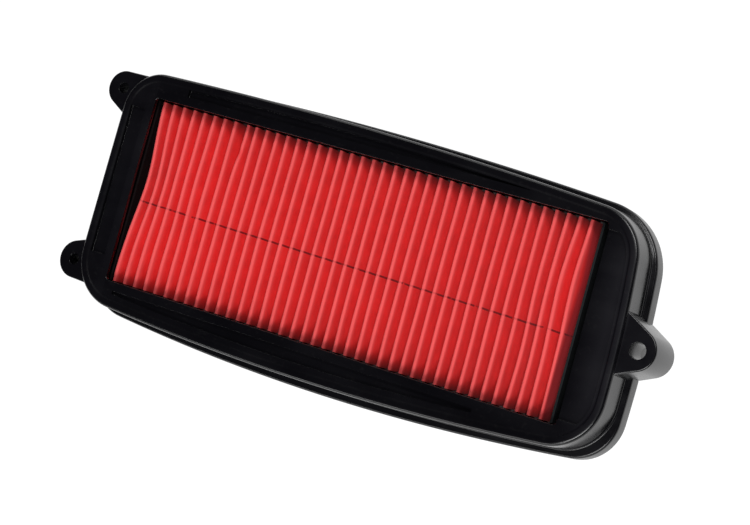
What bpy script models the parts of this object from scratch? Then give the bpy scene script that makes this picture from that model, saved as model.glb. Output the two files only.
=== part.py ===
"""Panel air filter for a motorcycle: a pleated paper pack held in a two-piece moulded frame.

The dirty side faces +Z and the clean side rests on z = 0. +X runs along the panel towards
the bolt ear, and +Y across it towards the straighter long edge. All lengths are in metres.
The plan is drawn about the middle of the paper pack, and PLAN_CENTRE then moves that
middle so that the origin lies at the bottom centre of the whole filter.
"""

import math
from collections import namedtuple

import bmesh
import bpy
from mathutils import Matrix, Vector

GAP = 0.0003

# Paper pack
PLEATS = 40
PLEAT_PITCH = 0.00497
FIRST_CREST_X = -0.0984
LAST_FLANK_RUN = 0.0036
PACK_HALF_WIDTH = 0.0380
PACK_BOTTOM = 0.0063
PACK_TOP = 0.0185
PAPER = 0.0005
CREST_HALF_WIDTH = 0.00055
FOLD_HALF_WIDTH = 0.00012
PACK_LEAN = math.radians(2.5)

# An outline has four bowed sides, each with the middle of the side, the direction that it
# faces in degrees and the radius of its bow, and a radius for the corner after each side.
Side = namedtuple("Side", "middle facing bow")
Outline = namedtuple("Outline", "right top left bottom corner_radii")
RIM = Outline(
    right=Side(Vector((0.1200, -0.0030)), 4.0, 0.500),
    top=Side(Vector((0.0, 0.0489)), 88.7, 1.990),
    left=Side(Vector((-0.1153, 0.0)), 182.1, 10.0),
    bottom=Side(Vector((0.0, -0.0525)), 270.5, 1.070),
    corner_radii=(0.0200, 0.0160, 0.0210, 0.0208),
)
FLANGE = Outline(
    right=Side(Vector((0.1225, -0.0030)), 3.5, 0.500),
    top=Side(Vector((0.0, 0.0513)), 89.3, 1.700),
    left=Side(Vector((-0.1170, 0.0)), 182.3, 10.0),
    bottom=Side(Vector((0.0, -0.0559)), 270.5, 0.920),
    corner_radii=(0.0262, 0.0170, 0.0200, 0.0176),
)
LONG_SEGMENTS = 8
SHORT_SEGMENTS = 4
CORNER_SEGMENTS = 6
SIDE_SEGMENTS = (SHORT_SEGMENTS, LONG_SEGMENTS, SHORT_SEGMENTS, LONG_SEGMENTS)

# Heights of the frame
FLANGE_BOTTOM = 0.0006
LEDGE_TOP = 0.0081
EAR_TOP = 0.0225
LUG_TOP = 0.0214
FACE_TOP = 0.0231
LIP_TOP = 0.0235
POCKET_FLOOR = 0.0216

# Frame sections
FRAME_WALL = 0.0019
PACK_WALL = 0.0016
PLATE = 0.0020
FACE_UNDERSIDE = FACE_TOP - 0.0025
LIP_WIDTH = 0.0036
LIP_RADIUS = 0.0015
FLANGE_SKIRT = 0.0018
LEDGE_RADIUS = 0.0010
TONGUE_WIDTH = 0.0008
TONGUE_HEIGHT = 0.0012
TONGUE_INSET = 0.0006
SILL_TOP = 0.0050

# Rectangles round the pack: (left, right, half width, corner radius)
OPENING = (-0.1006, 0.1035, 0.0384, 0.0015)
WELL = (-0.1024, 0.1040, 0.0392, 0.0015)
VENT = (-0.0975, 0.0975, 0.0355, 0.0030)
OPENING_ROUND = 0.0005
OVERHANG = 0.0019

# Tabs: a round nose, a hole in a boss, and the ends of the two flanks that run from the nose
EAR_BOSS_BOTTOM = LEDGE_TOP + 0.0008
LUG_BOSS_BOTTOM = 0.0140
Tab = namedtuple("Tab", "nose radius hole hole_radius flanks top boss_bottom")
EAR = Tab(
    nose=Vector((0.1257, -0.0036)),
    radius=0.0080,
    hole=Vector((0.1266, -0.0037)),
    hole_radius=0.0032,
    flanks=(Vector((0.1170, 0.0104)), Vector((0.1179, -0.0160))),
    top=EAR_TOP,
    boss_bottom=EAR_BOSS_BOTTOM,
)
UPPER_LUG = Tab(
    nose=Vector((-0.1201, 0.0389)),
    radius=0.0073,
    hole=Vector((-0.1199, 0.0390)),
    hole_radius=0.0023,
    flanks=(Vector((-0.1050, 0.0464)), Vector((-0.1128, 0.0264))),
    top=LUG_TOP,
    boss_bottom=LUG_BOSS_BOTTOM,
)
LOWER_LUG = Tab(
    nose=Vector((-0.1170, -0.0343)),
    radius=0.0078,
    hole=Vector((-0.1175, -0.0345)),
    hole_radius=0.0023,
    flanks=(Vector((-0.1110, -0.0239)), Vector((-0.1040, -0.0427))),
    top=LUG_TOP,
    boss_bottom=LUG_BOSS_BOTTOM,
)
TAB_PLATE = 0.0024
# How much farther a flank's end moves along the frame than the flank moves inwards
FLANK_SLANT = 1.3
TAB_WALL = 0.0018
TAB_ROOT = 0.0012
BOSS_WALL = 0.0016
NOSE_SEGMENTS = 14
HOLE_SEGMENTS = 24

# Shallow pockets in the face
POCKET_BAND = 0.0036
LIP_TO_POCKET = 0.0040
LIP_TO_LOWER_POCKET = 0.0058
LIP_TO_END_POCKET = 0.0048
UPPER_POCKET_X = (-0.088, 0.068)
LOWER_POCKET_X = (-0.094, 0.072)
LEFT_POCKET_Y = (-0.029, 0.033)
RIGHT_POCKET_Y = (-0.036, 0.036)
POCKET_SEGMENTS = 10

# Seal, screen, end bands and bond beads
SEAL_WIDTH = 0.0030
SEAL_CHAMFER = 0.0006
SCREEN_THICKNESS = 0.0007
SCREEN_CELLS = (16, 6)
SCREEN_STRAND = 0.0016
SCREEN_MARGIN = 0.0040
SCREEN_CLEARANCE = 0.0008
LEFT_BAND = (-0.1021, -0.1012)
RIGHT_BAND = (0.0997, 0.1006)
RIGHT_BAND_TOP = 0.0190
LEFT_BAND_TOP = 0.0180
END_BEAD = (RIGHT_BAND[1] + GAP, WELL[1] - GAP)
END_BEAD_TOP = 0.0120
SIDE_BEAD_TOP = 0.0160
BEAD_X = (-0.1008, 0.0992)
TOOTH_LENGTH = 0.0020
TOOTH_DROP = 0.0030
TOOTH_TIP = 0.0001


def heading(degrees):
    angle = math.radians(degrees)
    return Vector((math.cos(angle), math.sin(angle)))


def bow_centre(side):
    return side.middle - heading(side.facing) * side.bow


def plan_centre():
    """Where the middle of the pack goes, so that the whole filter is centred on the origin."""
    low_x = UPPER_LUG.nose.x - UPPER_LUG.radius
    high_x = EAR.nose.x + EAR.radius
    low_y = bow_centre(FLANGE.bottom).y - FLANGE.bottom.bow
    high_y = bow_centre(FLANGE.top).y + FLANGE.top.bow
    return Vector((-(low_x + high_x) / 2, -(low_y + high_y) / 2, 0.0))


PLAN_CENTRE = plan_centre()


def clear_scene():
    for obj in list(bpy.data.objects):
        bpy.data.objects.remove(obj, do_unlink=True)


def material(name, colour, roughness, metallic=0.0):
    made = bpy.data.materials.new(name)
    made.use_nodes = True
    shader = made.node_tree.nodes["Principled BSDF"]
    shader.inputs["Base Color"].default_value = (*colour, 1.0)
    shader.inputs["Roughness"].default_value = roughness
    shader.inputs["Metallic"].default_value = metallic
    return made


def add_object(name, mesh_data, finish=None):
    """Turns a bmesh into an object whose faces point out and whose curved faces are smooth."""
    bmesh.ops.recalc_face_normals(mesh_data, faces=mesh_data.faces)
    mesh = bpy.data.meshes.new(name)
    mesh_data.to_mesh(mesh)
    mesh_data.free()
    mesh.shade_smooth()
    mesh.set_sharp_from_angle(angle=math.radians(30))
    obj = bpy.data.objects.new(name, mesh)
    bpy.context.collection.objects.link(obj)
    obj.parent = bpy.data.objects["air_filter"]
    if finish:
        mesh.materials.append(finish)
    return obj


def boolean(obj, tool, operation):
    cut = obj.modifiers.new(f"{operation.lower()} {tool.name}", "BOOLEAN")
    cut.operation = operation
    cut.object = tool
    tool.hide_render = True
    tool.display_type = "WIRE"


def circles_meet(first, first_radius, second, second_radius, near):
    """The crossing of two circles that lies nearer to a given point."""
    between = second - first
    distance = between.length
    along = (first_radius**2 - second_radius**2 + distance**2) / (2 * distance)
    across = math.sqrt(first_radius**2 - along**2)
    foot = first + between * (along / distance)
    normal = Vector((-between.y, between.x)) / distance
    return min((foot + normal * across, foot - normal * across), key=lambda p: (p - near).length)


def arc(centre, start, end, radius, segments):
    """Points on an arc from the direction start to the direction end, the short way round."""
    first = math.atan2(start.y, start.x)
    sweep = math.atan2(start.cross(end), start.dot(end))
    turns = [first + sweep * step / segments for step in range(segments + 1)]
    return [centre + Vector((math.cos(turn), math.sin(turn))) * radius for turn in turns]


def outline(shape, offset=0.0):
    """The points of an outline, moved outwards by offset: four bowed sides and four round corners."""
    sides = shape[:4]
    centres = [bow_centre(side) for side in sides]
    corners = []
    for index, corner_radius in enumerate(shape.corner_radii):
        after = (index + 1) % 4
        near = sides[index].middle + sides[after].middle
        reach = sides[index].bow - corner_radius
        next_reach = sides[after].bow - corner_radius
        corners.append(circles_meet(centres[index], reach, centres[after], next_reach, near))
    points = []
    for index, segments in enumerate(SIDE_SEGMENTS):
        centre = centres[index]
        before, after = corners[index - 1], corners[index]
        points += arc(centre, before - centre, after - centre, sides[index].bow + offset, segments)
        next_centre = centres[(index + 1) % 4]
        radius = shape.corner_radii[index] + offset
        turn = arc(after, after - centre, after - next_centre, radius, CORNER_SEGMENTS)
        points += turn[1:-1]
    return points


def lean(point):
    """Leans the pack and all that fits round it, as the frame's ends lean."""
    return Vector((point.x - point.y * math.tan(PACK_LEAN), point.y))


def rectangle(box, grow=0.0):
    """A leaning rectangle with as many points as outline() has, in the same order."""
    left, right, half, radius = box
    left, right, half, radius = left - grow, right + grow, half + grow, max(radius + grow, 0.0004)
    corners = (
        (Vector((right - radius, half - radius)), 0),
        (Vector((left + radius, half - radius)), 90),
        (Vector((left + radius, radius - half)), 180),
        (Vector((right - radius, radius - half)), 270),
    )
    points = []
    for index, segments in enumerate(SIDE_SEGMENTS):
        side_heading = heading(corners[index][1]) * radius
        start = corners[index - 1][0] + side_heading
        end = corners[index][0] + side_heading
        points += [start.lerp(end, step / segments) for step in range(segments + 1)]
        centre, degrees = corners[index]
        turn = arc(centre, heading(degrees), heading(degrees + 90), radius, CORNER_SEGMENTS)
        points += turn[1:-1]
    return [lean(point) for point in points]


def loft(name, loops, finish):
    """A closed ring through loops of matching points, each given as (points, height)."""
    mesh = bmesh.new()
    rows = [[mesh.verts.new((*point, height)) for point in points] for points, height in loops]
    for index, row in enumerate(rows):
        after = rows[(index + 1) % len(rows)]
        for step in range(len(row)):
            onward = (step + 1) % len(row)
            mesh.faces.new((row[step], row[onward], after[onward], after[step]))
    return add_object(name, mesh, finish)


def prism(name, points, low, high, finish=None):
    mesh = bmesh.new()
    base = mesh.faces.new([mesh.verts.new((*point, low)) for point in points])
    raised = bmesh.ops.extrude_face_region(mesh, geom=[base])["geom"]
    moved = [item for item in raised if isinstance(item, bmesh.types.BMVert)]
    bmesh.ops.translate(mesh, verts=moved, vec=(0, 0, high - low))
    return add_object(name, mesh, finish)


def rounded_lip():
    """The front frame's outer edge: a round over the wall, a flat crest and a step to the face."""
    steps = 3
    loops = []
    for step in range(steps + 1):
        turn = math.radians(90 * step / steps)
        inset = LIP_RADIUS * (1 - math.cos(turn))
        height = LIP_TOP - LIP_RADIUS * (1 - math.sin(turn))
        loops.append((outline(RIM, -inset), height))
    loops.append((outline(RIM, -LIP_WIDTH + (LIP_TOP - FACE_TOP)), LIP_TOP))
    loops.append((outline(RIM, -LIP_WIDTH), FACE_TOP))
    return loops


def front_frame(finish):
    foot = LEDGE_TOP + GAP
    tongue_end = foot - TONGUE_HEIGHT
    tongue_inner = -TONGUE_INSET - TONGUE_WIDTH
    overhang_low = FACE_TOP - OVERHANG
    loops = [
        (outline(RIM), foot),
        *rounded_lip(),
        (rectangle(OPENING, OPENING_ROUND), FACE_TOP),
        (rectangle(OPENING), FACE_TOP - OPENING_ROUND),
        (rectangle(OPENING), overhang_low),
        (rectangle(WELL), overhang_low),
        (rectangle(WELL), foot),
        (rectangle(WELL, PACK_WALL), foot),
        (rectangle(WELL, PACK_WALL), FACE_UNDERSIDE),
        (outline(RIM, -FRAME_WALL), FACE_UNDERSIDE),
        (outline(RIM, -FRAME_WALL), foot),
        (outline(RIM, tongue_inner), foot),
        (outline(RIM, tongue_inner), tongue_end),
        (outline(RIM, -TONGUE_INSET), tongue_end),
        (outline(RIM, -TONGUE_INSET), foot),
    ]
    frame = loft("front_frame", loops, finish)
    for name, tab in (("ear", EAR), ("upper_lug", UPPER_LUG), ("lower_lug", LOWER_LUG)):
        boolean(frame, hollow_tab(name, tab), "UNION")
    for pocket in face_pockets():
        boolean(frame, pocket, "DIFFERENCE")


def tangent_point(centre, radius, outside, side):
    """Where a line from an outside point touches a circle, on its left (1) or right (-1)."""
    reach = centre - outside
    turn = math.asin(radius / reach.length) * side
    length = math.sqrt(reach.length**2 - radius**2)
    direction = Matrix.Rotation(turn, 2) @ reach.normalized()
    return outside + direction * length


def teardrop(tab, inset=0.0):
    """A tab's outline: a round nose whose flanks run back into the frame."""
    first, second = tab.flanks
    inward = (second - first).normalized() * inset * FLANK_SLANT
    first, second = first + inward, second - inward
    centre, radius = tab.nose, tab.radius - inset
    side = 1 if (centre - first).cross(second - first) < 0 else -1
    touch = tangent_point(centre, radius, first, side) - centre
    leave = tangent_point(centre, radius, second, -side) - centre
    middle = (centre - (first + second) / 2).normalized()
    half = NOSE_SEGMENTS // 2
    nose = arc(centre, touch, middle, radius, half) + arc(centre, middle, leave, radius, half)[1:]
    return [first, *nose, second]


def circle(centre, radius):
    turns = [math.tau * step / HOLE_SEGMENTS for step in range(HOLE_SEGMENTS)]
    return [centre + Vector((math.cos(turn), math.sin(turn))) * radius for turn in turns]


def hollow_tab(name, tab):
    """A tab's plate with a boss round its hole, on a skirt that is open below.

    The skirt is cut back where the two frame pieces pass.
    """
    body = prism(name, teardrop(tab), FLANGE_BOTTOM, tab.top)
    below = FLANGE_BOTTOM - PLATE
    above = LIP_TOP + PLATE
    hollow = prism(f"{name}_hollow", teardrop(tab, TAB_WALL), below, tab.top - TAB_PLATE)
    boss = prism(f"{name}_boss", circle(tab.hole, tab.hole_radius + BOSS_WALL), tab.boss_bottom, above)
    boolean(hollow, boss, "DIFFERENCE")
    hole = prism(f"{name}_hole", circle(tab.hole, tab.hole_radius), below, above)
    core = prism(f"{name}_core", outline(RIM, -TAB_ROOT), below, above)
    clearance = prism(f"{name}_clearance", outline(FLANGE, GAP), below, LEDGE_TOP + GAP)
    for tool in (hollow, hole, core, clearance):
        boolean(body, tool, "DIFFERENCE")
    return body


def bowed_edge(side, offset, low_x, high_x):
    """Points along a long side of the rim, moved by offset, from low_x to high_x."""
    centre = bow_centre(side)
    up = 1 if side.middle.y > 0 else -1
    points = []
    for step in range(POCKET_SEGMENTS + 1):
        x = low_x + (high_x - low_x) * step / POCKET_SEGMENTS
        drop = math.sqrt((side.bow + offset) ** 2 - (x - centre.x) ** 2)
        points.append(Vector((x, centre.y + up * drop)))
    return points


def face_pockets():
    """The shallow pockets between the lip and the band round the opening."""
    above = LIP_TOP + PLATE
    band_y = OPENING[2] + POCKET_BAND
    upper = bowed_edge(RIM.top, -LIP_TO_POCKET, *UPPER_POCKET_X)
    upper += [Vector((UPPER_POCKET_X[1], band_y)), Vector((UPPER_POCKET_X[0], band_y))]
    lower = bowed_edge(RIM.bottom, -LIP_TO_LOWER_POCKET, *LOWER_POCKET_X)
    lower += [Vector((LOWER_POCKET_X[1], -band_y)), Vector((LOWER_POCKET_X[0], -band_y))]
    left_low, left_high = LEFT_POCKET_Y
    band_x = OPENING[0] - POCKET_BAND
    lip_x = RIM.left.middle.x + LIP_TO_POCKET
    left = [(lip_x, left_low), (band_x, left_low), (band_x, left_high), (lip_x, left_high)]
    right_low, right_high = RIGHT_POCKET_Y
    inner = outline(RIM, -LIP_TO_END_POCKET)
    right = [point for point in inner if point.x > OPENING[1] and right_low < point.y < right_high]
    right.sort(key=lambda point: point.y)
    right = [Vector((OPENING[1] - PLATE, right_low)), *right, Vector((OPENING[1] - PLATE, right_high))]
    shapes = {
        "upper_pocket": upper,
        "lower_pocket": lower,
        "left_pocket": [lean(Vector(point)) for point in left],
        "right_pocket": right,
    }
    return [prism(name, points, POCKET_FLOOR, above) for name, points in shapes.items()]


def rear_frame(finish):
    groove_outer = GAP - TONGUE_INSET
    groove_inner = -TONGUE_INSET - TONGUE_WIDTH - GAP
    groove_floor = LEDGE_TOP - TONGUE_HEIGHT
    sill_underside = SILL_TOP - PLATE
    ledge_underside = LEDGE_TOP - PLATE
    round_step = LEDGE_RADIUS * (1 - math.sqrt(0.5))
    loops = [
        (outline(FLANGE), FLANGE_BOTTOM),
        (outline(FLANGE), LEDGE_TOP - LEDGE_RADIUS),
        (outline(FLANGE, -round_step), LEDGE_TOP - round_step),
        (outline(FLANGE, -LEDGE_RADIUS), LEDGE_TOP),
        (outline(RIM, groove_outer), LEDGE_TOP),
        (outline(RIM, groove_outer), groove_floor),
        (outline(RIM, groove_inner), groove_floor),
        (outline(RIM, groove_inner), LEDGE_TOP),
        (rectangle(WELL), LEDGE_TOP),
        (rectangle(WELL), SILL_TOP),
        (rectangle(VENT), SILL_TOP),
        (rectangle(VENT), sill_underside),
        (rectangle(WELL, PACK_WALL), sill_underside),
        (rectangle(WELL, PACK_WALL), ledge_underside),
        (outline(FLANGE, -FLANGE_SKIRT), ledge_underside),
        (outline(FLANGE, -FLANGE_SKIRT), FLANGE_BOTTOM),
    ]
    loft("rear_frame", loops, finish)


def seal(finish):
    outer = -FLANGE_SKIRT - GAP
    inner = outer - SEAL_WIDTH
    top = LEDGE_TOP - PLATE - GAP
    loops = [
        (outline(FLANGE, outer), top),
        (outline(FLANGE, outer), SEAL_CHAMFER),
        (outline(FLANGE, outer - SEAL_CHAMFER), 0.0),
        (outline(FLANGE, inner + SEAL_CHAMFER), 0.0),
        (outline(FLANGE, inner), SEAL_CHAMFER),
        (outline(FLANGE, inner), top),
    ]
    loft("rim_seal", loops, finish)


def pleat_section():
    """Front and back of the folded sheet, as (x, height) pairs that match one to one."""
    front, back = [], []
    high, low = PACK_TOP, PACK_BOTTOM
    half = PLEAT_PITCH / 2
    start = FIRST_CREST_X - half
    front.append((start + FOLD_HALF_WIDTH, low + PAPER))
    back.append((start + CREST_HALF_WIDTH, low))
    for pleat in range(PLEATS):
        crest = FIRST_CREST_X + pleat * PLEAT_PITCH
        run = LAST_FLANK_RUN if pleat == PLEATS - 1 else half
        fold = crest + run
        front += [(crest - CREST_HALF_WIDTH, high), (crest + CREST_HALF_WIDTH, high)]
        back += [(crest - FOLD_HALF_WIDTH, high - PAPER), (crest + FOLD_HALF_WIDTH, high - PAPER)]
        front.append((fold - FOLD_HALF_WIDTH, low + PAPER))
        back.append((fold - CREST_HALF_WIDTH, low))
        if pleat < PLEATS - 1:
            front.append((fold + FOLD_HALF_WIDTH, low + PAPER))
            back.append((fold + CREST_HALF_WIDTH, low))
    return front, back


def pleated_media(finish):
    """One sheet folded into pleats that run across the panel."""
    front, back = pleat_section()
    mesh = bmesh.new()
    rows = []
    for x_and_z in (front, back):
        for y in (-PACK_HALF_WIDTH, PACK_HALF_WIDTH):
            leaning = [(*lean(Vector((x, y))), z) for x, z in x_and_z]
            rows.append([mesh.verts.new(place) for place in leaning])
    low_front, high_front, low_back, high_back = rows
    ring = [low_front, high_front, high_back, low_back]
    last = len(front) - 1
    for step in range(last):
        for one, other in zip(ring, ring[1:] + ring[:1]):
            mesh.faces.new((one[step], one[step + 1], other[step + 1], other[step]))
    for step in (0, last):
        mesh.faces.new((low_front[step], high_front[step], high_back[step], low_back[step]))
    add_object("pleated_media", mesh, finish)


def leaning_box(name, across, along, low, high, finish):
    """A box between two x values and two y values that leans with the pack."""
    corners = [(across[0], along[0]), (across[1], along[0]), (across[1], along[1]), (across[0], along[1])]
    return prism(name, [lean(Vector(corner)) for corner in corners], low, high, finish)


def side_bead(name, side, finish):
    """A bead along the ends of the pleats, with a tooth of adhesive in each open fold."""
    inner = PACK_HALF_WIDTH + GAP
    outer = WELL[2] - GAP
    along = sorted((side * inner, side * outer))
    bead = leaning_box(name, BEAD_X, along, PACK_BOTTOM, SIDE_BEAD_TOP, finish)
    half = PLEAT_PITCH / 2
    flank = half - CREST_HALF_WIDTH - FOLD_HALF_WIDTH
    fold_depth = PACK_TOP - PACK_BOTTOM - PAPER
    room = half - CREST_HALF_WIDTH - GAP
    top_half = room - flank * TOOTH_DROP / fold_depth
    tip_drop = fold_depth * (room - TOOTH_TIP) / flank
    teeth = bmesh.new()
    root = side * (inner + outer) / 2
    tip = side * (PACK_HALF_WIDTH - TOOTH_LENGTH)
    for pleat in range(PLEATS - 1):
        middle = FIRST_CREST_X + (pleat + 0.5) * PLEAT_PITCH
        section = (
            (middle - top_half, PACK_TOP - TOOTH_DROP),
            (middle + top_half, PACK_TOP - TOOTH_DROP),
            (middle + TOOTH_TIP, PACK_TOP - tip_drop),
            (middle - TOOTH_TIP, PACK_TOP - tip_drop),
        )
        ends = []
        for y in (root, tip):
            ends.append([teeth.verts.new((*lean(Vector((x, y))), z)) for x, z in section])
            teeth.faces.new(ends[-1])
        for step in range(4):
            onward = (step + 1) % 4
            teeth.faces.new((ends[0][step], ends[0][onward], ends[1][onward], ends[1][step]))
    boolean(bead, add_object(f"{name}_teeth", teeth), "UNION")


def screen(finish):
    """A flat steel screen: a margin round a grid of square openings."""
    left, right = WELL[0] + SCREEN_CLEARANCE, WELL[1] - SCREEN_CLEARANCE
    half = WELL[2] - SCREEN_CLEARANCE
    low = SILL_TOP + GAP
    columns = grid_lines(left, right, SCREEN_CELLS[0])
    rows = grid_lines(-half, half, SCREEN_CELLS[1])
    mesh = bmesh.new()
    corners = [[mesh.verts.new((*lean(Vector((x, y))), low)) for y in rows] for x in columns]
    for i in range(len(columns) - 1):
        for j in range(len(rows) - 1):
            if i % 2 and j % 2:
                continue
            around = (corners[i][j], corners[i + 1][j], corners[i + 1][j + 1], corners[i][j + 1])
            mesh.faces.new(around)
    raised = bmesh.ops.extrude_face_region(mesh, geom=list(mesh.faces))["geom"]
    moved = [item for item in raised if isinstance(item, bmesh.types.BMVert)]
    bmesh.ops.translate(mesh, verts=moved, vec=(0, 0, SCREEN_THICKNESS))
    add_object("support_screen", mesh, finish)


def grid_lines(low, high, cells):
    """The edges of the strands and openings, from the margin at low to the margin at high."""
    start = low + SCREEN_MARGIN
    pitch = (high - low - 2 * SCREEN_MARGIN + SCREEN_STRAND) / cells
    lines = [low]
    for cell in range(cells):
        lines += [start + cell * pitch, start + (cell + 1) * pitch - SCREEN_STRAND]
    return [*lines, high]


def build():
    clear_scene()
    centre = bpy.data.objects.new("air_filter", None)
    centre.location = PLAN_CENTRE
    bpy.context.collection.objects.link(centre)
    front_plastic = material("front_plastic", (0.012, 0.012, 0.014), 0.32)
    rear_plastic = material("rear_plastic", (0.014, 0.014, 0.016), 0.36)
    paper = material("filter_paper", (0.72, 0.03, 0.035), 0.75)
    card = material("end_card", (0.045, 0.055, 0.055), 0.6)
    adhesive = material("adhesive", (0.015, 0.013, 0.013), 0.45)
    rubber = material("seal_rubber", (0.03, 0.03, 0.032), 0.75)
    steel = material("screen_steel", (0.55, 0.56, 0.57), 0.35, 1.0)
    front_frame(front_plastic)
    rear_frame(rear_plastic)
    seal(rubber)
    screen(steel)
    pleated_media(paper)
    ends = (-PACK_HALF_WIDTH, PACK_HALF_WIDTH)
    leaning_box("end_band_left", LEFT_BAND, ends, PACK_BOTTOM, LEFT_BAND_TOP, card)
    leaning_box("end_band_right", RIGHT_BAND, ends, PACK_BOTTOM, RIGHT_BAND_TOP, card)
    leaning_box("bond_bead_end", END_BEAD, ends, PACK_BOTTOM, END_BEAD_TOP, adhesive)
    side_bead("bond_bead_upper", 1, adhesive)
    side_bead("bond_bead_lower", -1, adhesive)


build()
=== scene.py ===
"""Looks of the panel air filter: moulded black frame, red pleated paper, and a soft studio.

All lengths are in metres. Plan shapes are drawn about the middle of the paper pack, and ORIGIN
is where that middle lies in the frame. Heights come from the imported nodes.
"""

import math
import random
from collections import namedtuple

import bmesh
import bpy
from mathutils import Matrix, Vector, noise


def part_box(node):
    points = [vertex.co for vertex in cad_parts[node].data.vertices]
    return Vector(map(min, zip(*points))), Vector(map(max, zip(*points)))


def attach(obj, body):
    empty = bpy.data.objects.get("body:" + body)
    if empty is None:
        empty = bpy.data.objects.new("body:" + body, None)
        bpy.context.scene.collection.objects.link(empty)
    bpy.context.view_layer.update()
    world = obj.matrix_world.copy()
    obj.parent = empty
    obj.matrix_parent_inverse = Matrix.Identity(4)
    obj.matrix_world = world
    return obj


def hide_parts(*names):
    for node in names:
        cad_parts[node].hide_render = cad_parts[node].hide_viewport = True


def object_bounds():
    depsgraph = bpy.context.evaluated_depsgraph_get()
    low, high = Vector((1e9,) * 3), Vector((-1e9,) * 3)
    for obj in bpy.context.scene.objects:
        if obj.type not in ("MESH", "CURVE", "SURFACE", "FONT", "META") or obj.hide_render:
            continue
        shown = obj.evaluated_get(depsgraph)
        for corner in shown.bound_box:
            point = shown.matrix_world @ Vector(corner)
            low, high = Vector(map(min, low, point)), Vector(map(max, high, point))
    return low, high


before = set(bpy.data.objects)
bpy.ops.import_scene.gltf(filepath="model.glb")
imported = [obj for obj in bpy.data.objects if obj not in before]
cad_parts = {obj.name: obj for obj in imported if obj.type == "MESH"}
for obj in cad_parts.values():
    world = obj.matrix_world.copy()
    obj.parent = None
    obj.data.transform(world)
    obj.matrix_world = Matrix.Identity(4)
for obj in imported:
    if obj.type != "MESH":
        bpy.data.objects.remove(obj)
CAD_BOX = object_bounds()

GAP = 0.0003

# An outline: four bowed sides (middle, facing in degrees, radius) and the corner after each
Side = namedtuple("Side", "middle facing bow")
Outline = namedtuple("Outline", "right top left bottom corner_radii")
RIM = Outline(
    right=Side(Vector((0.1200, -0.0030)), 4.0, 0.500),
    top=Side(Vector((0.0, 0.0489)), 88.7, 1.990),
    left=Side(Vector((-0.1153, 0.0)), 182.1, 10.0),
    bottom=Side(Vector((0.0, -0.0525)), 270.5, 1.070),
    corner_radii=(0.0200, 0.0160, 0.0210, 0.0208),
)
FLANGE = Outline(
    right=Side(Vector((0.1225, -0.0030)), 3.5, 0.500),
    top=Side(Vector((0.0, 0.0513)), 89.3, 1.700),
    left=Side(Vector((-0.1170, 0.0)), 182.3, 10.0),
    bottom=Side(Vector((0.0, -0.0559)), 270.5, 0.920),
    corner_radii=(0.0262, 0.0170, 0.0200, 0.0176),
)
SIDE_SEGMENTS = (24, 64, 24, 64)
CORNER_SEGMENTS = 28
SHARP_ANGLE = math.radians(34)

# Tabs: a round nose, a hole, and the ends of the two flanks
Tab = namedtuple("Tab", "nose radius hole hole_radius flanks top boss_bottom")
LUG_TOP = 0.0214
LUG_BOSS_BOTTOM = 0.0140
EAR = Tab(
    nose=Vector((0.1257, -0.0036)),
    radius=0.0080,
    hole=Vector((0.1266, -0.0037)),
    hole_radius=0.0032,
    flanks=(Vector((0.1170, 0.0104)), Vector((0.1179, -0.0160))),
    top=0.0225,
    boss_bottom=0.0089,
)
UPPER_LUG = Tab(
    nose=Vector((-0.1201, 0.0389)),
    radius=0.0073,
    hole=Vector((-0.1199, 0.0390)),
    hole_radius=0.0023,
    flanks=(Vector((-0.1050, 0.0464)), Vector((-0.1128, 0.0264))),
    top=LUG_TOP,
    boss_bottom=LUG_BOSS_BOTTOM,
)
LOWER_LUG = Tab(
    nose=Vector((-0.1170, -0.0343)),
    radius=0.0078,
    hole=Vector((-0.1175, -0.0345)),
    hole_radius=0.0023,
    flanks=(Vector((-0.1110, -0.0239)), Vector((-0.1040, -0.0427))),
    top=LUG_TOP,
    boss_bottom=LUG_BOSS_BOTTOM,
)
TAB_PLATE = 0.0024
TAB_WALL = 0.0018
TAB_ROOT = 0.0012
BOSS_WALL = 0.0016
TAB_ROUND = 0.0007
TAB_ROUND_STEPS = 6
FLANK_SLANT = 1.3
HOLE_FLARE = 0.0001
FLARE_STEPS = 4
NOSE_SEGMENTS = 48
HOLE_SEGMENTS = 64

# Heights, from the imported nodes
LIP_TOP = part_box("front_frame")[1].z
LEDGE_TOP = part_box("rear_frame")[1].z
FLANGE_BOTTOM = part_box("rear_frame")[0].z
PACK_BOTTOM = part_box("pleated_media")[0].z
PACK_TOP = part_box("pleated_media")[1].z
SEAL_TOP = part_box("rim_seal")[1].z
SILL_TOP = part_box("support_screen")[0].z - GAP
FACE_TOP = LIP_TOP - 0.0004
POCKET_FLOOR = LIP_TOP - 0.0019

# Where the middle of the paper pack lies
ORIGIN = Vector((
    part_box("front_frame")[1].x - EAR.nose.x - EAR.radius,
    sum(corner.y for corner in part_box("pleated_media")) / 2,
    0.0,
))

# Frame sections
FRAME_WALL = 0.0019
PACK_WALL = 0.0016
PLATE = 0.0020
FACE_UNDERSIDE = FACE_TOP - 0.0025
LIP_WIDTH = 0.0036
LIP_RADIUS = 0.0015
LIP_STEPS = 8
LIP_STEP_ROUND = 0.0003
FOOT_FILLET = 0.0008
FOOT_STEPS = 5
FLANGE_SKIRT = 0.0018
LEDGE_RADIUS = 0.0011
LEDGE_ROUND_STEPS = 7
LEDGE_FALL = 0.0003
LEDGE_STEPS = 6
EDGE = 0.00025

# Rectangles round the leaning pack: (left, right, half width, corner radius)
PACK_LEAN = math.radians(2.5)
OPENING = (-0.1006, 0.1035, 0.0384, 0.0015)
WELL = (-0.1024, 0.1040, 0.0392, 0.0015)
VENT = (-0.0975, 0.0975, 0.0355, 0.0030)
OPENING_ROUND = 0.00025
OPENING_STEPS = 4
SMALLEST_CORNER = 0.0004
OVERHANG = 0.0019

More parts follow.
